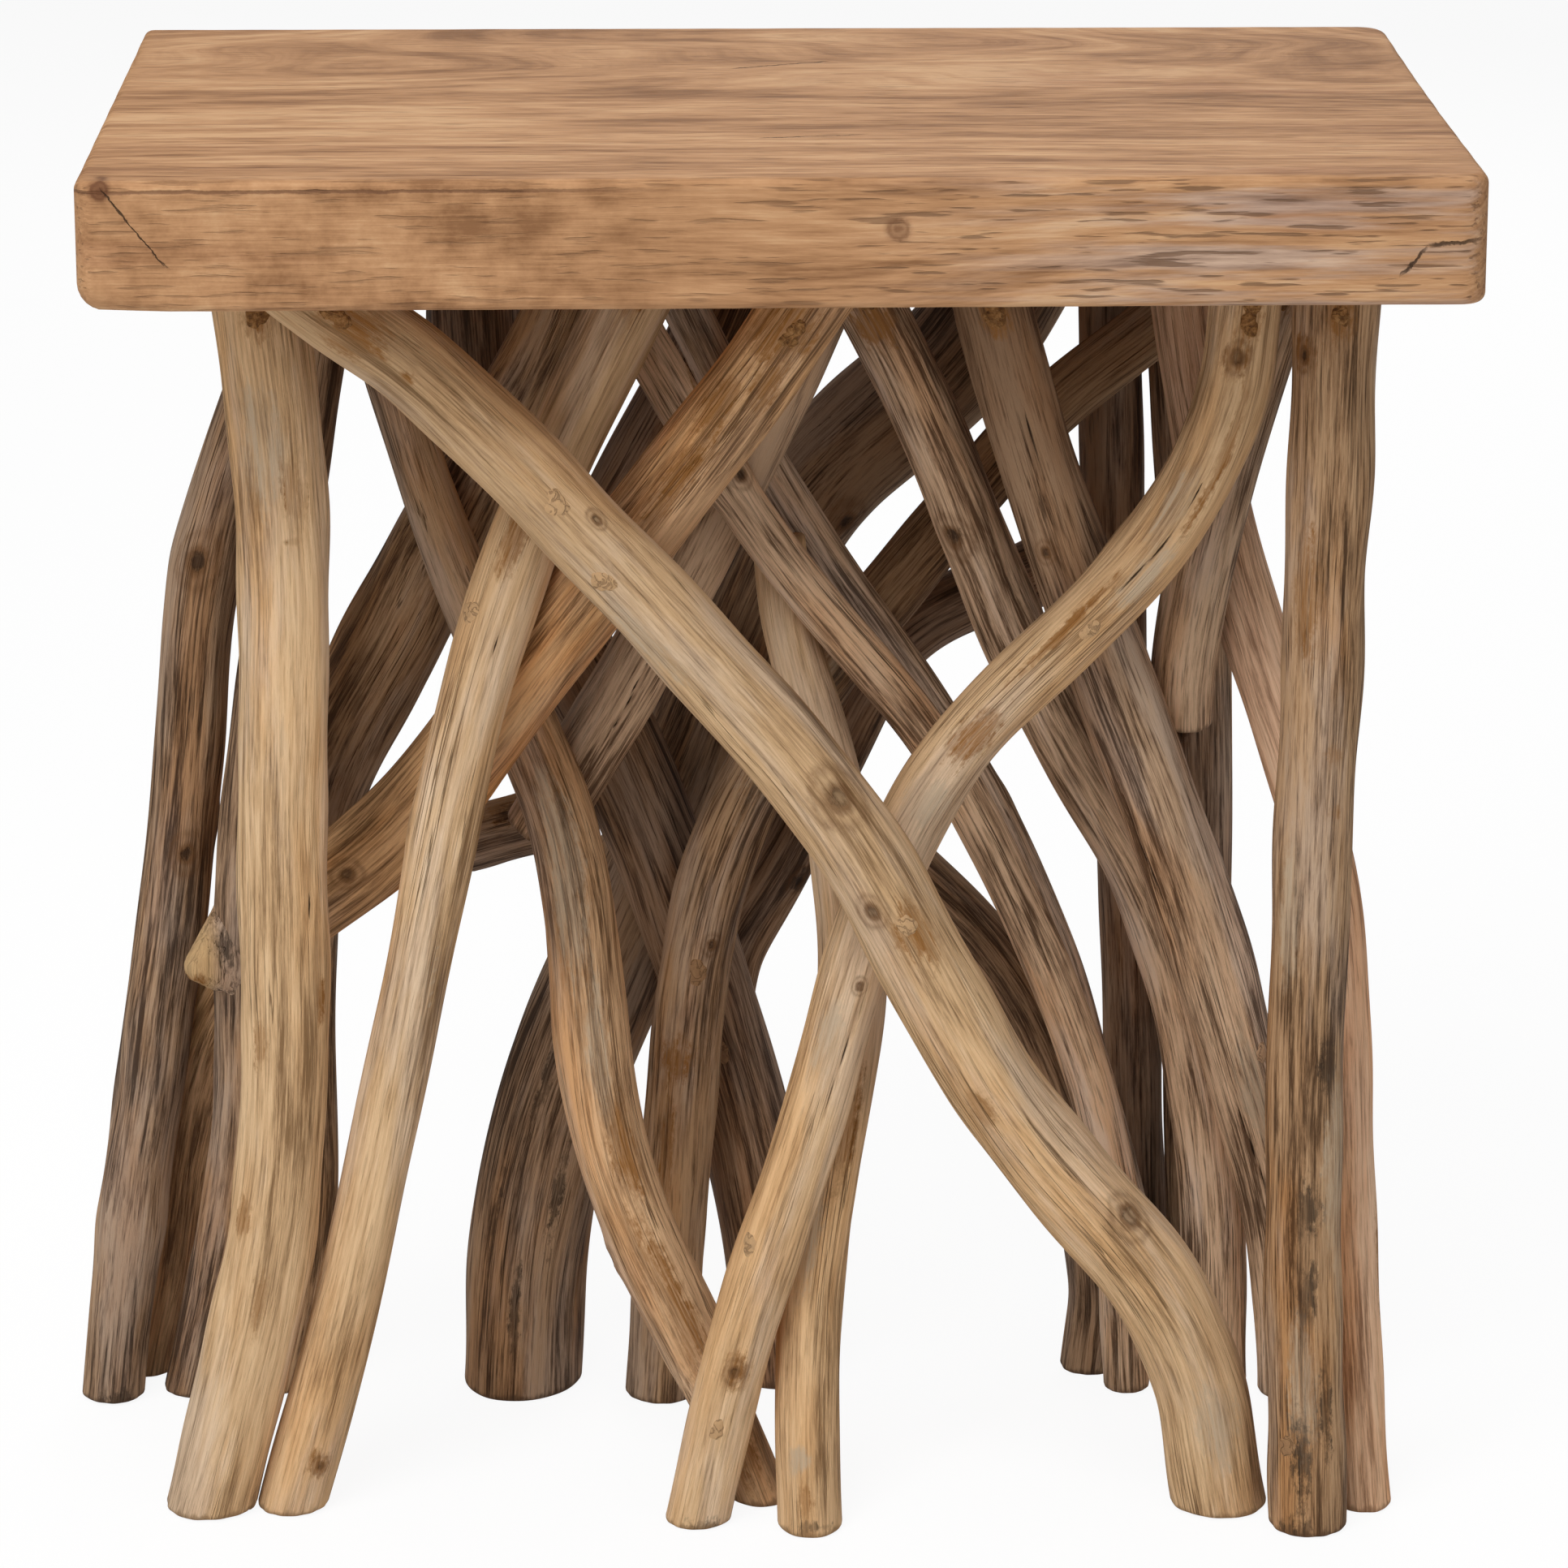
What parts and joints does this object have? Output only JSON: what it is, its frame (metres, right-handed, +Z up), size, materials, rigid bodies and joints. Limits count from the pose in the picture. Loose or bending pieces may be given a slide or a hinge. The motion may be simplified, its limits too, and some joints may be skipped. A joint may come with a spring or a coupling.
{
  "type": "branch-leg side table",
  "caption": "Small rustic side table: a thick solid wood slab with rounded edges on a tangle of peeled, crossing branches standing in a front and a back row.",
  "frame": {"origin": "middle of the bounding box, on the floor", "axes": "+Z up, +X along the slab to the right as seen in the picture, +Y to the back, so the front is -Y"},
  "size_m": [0.4926, 0.2939, 0.5],
  "materials": {
    "slab_wood": "sanded, matt, light brown",
    "pale_branch_wood": "peeled and sanded, matt, pale tan",
    "tan_branch_wood": "peeled and sanded, matt, tan",
    "grey_branch_wood": "peeled and weathered, matt, grey-brown",
    "dark_branch_wood": "peeled and weathered, matt, dark brown",
    "screw_steel": "plain zinc-coated steel",
    "filler": "matt wood filler, orange-brown"
  },
  "bodies": {
    "root": {"slab_top": "slab_wood", "front_left_post": "pale_branch_wood", "long_front_diagonal": "pale_branch_wood", "s_curve_branch": "pale_branch_wood", "slender_left_branch": "pale_branch_wood", "front_right_post": "pale_branch_wood", "pale_slender_branch": "pale_branch_wood", "long_left_diagonal": "tan_branch_wood", "tan_right_leg": "tan_branch_wood", "bowed_inner_branch": "tan_branch_wood", "centre_upright": "tan_branch_wood", "knotted_branch": "tan_branch_wood", "wide_right_diagonal": "tan_branch_wood", "grey_cross_brace": "grey_branch_wood", "grey_left_slant": "grey_branch_wood", "short_top_right_branch": "grey_branch_wood", "stubbed_left_leg": "grey_branch_wood", "back_left_leg": "grey_branch_wood", "back_right_upright": "grey_branch_wood", "long_rear_diagonal": "grey_branch_wood", "low_left_brace": "grey_branch_wood", "low_grey_slant": "grey_branch_wood", "dark_slender_branch": "dark_branch_wood", "dark_left_slant": "dark_branch_wood", "upper_rear_brace": "dark_branch_wood", "back_right_leg": "dark_branch_wood", "thick_rear_leg": "dark_branch_wood", "low_rear_brace": "dark_branch_wood", "top_screws": "screw_steel", "crossing_screws": "screw_steel", "screw_fillers": "filler"}
  },
  "joints": []
}
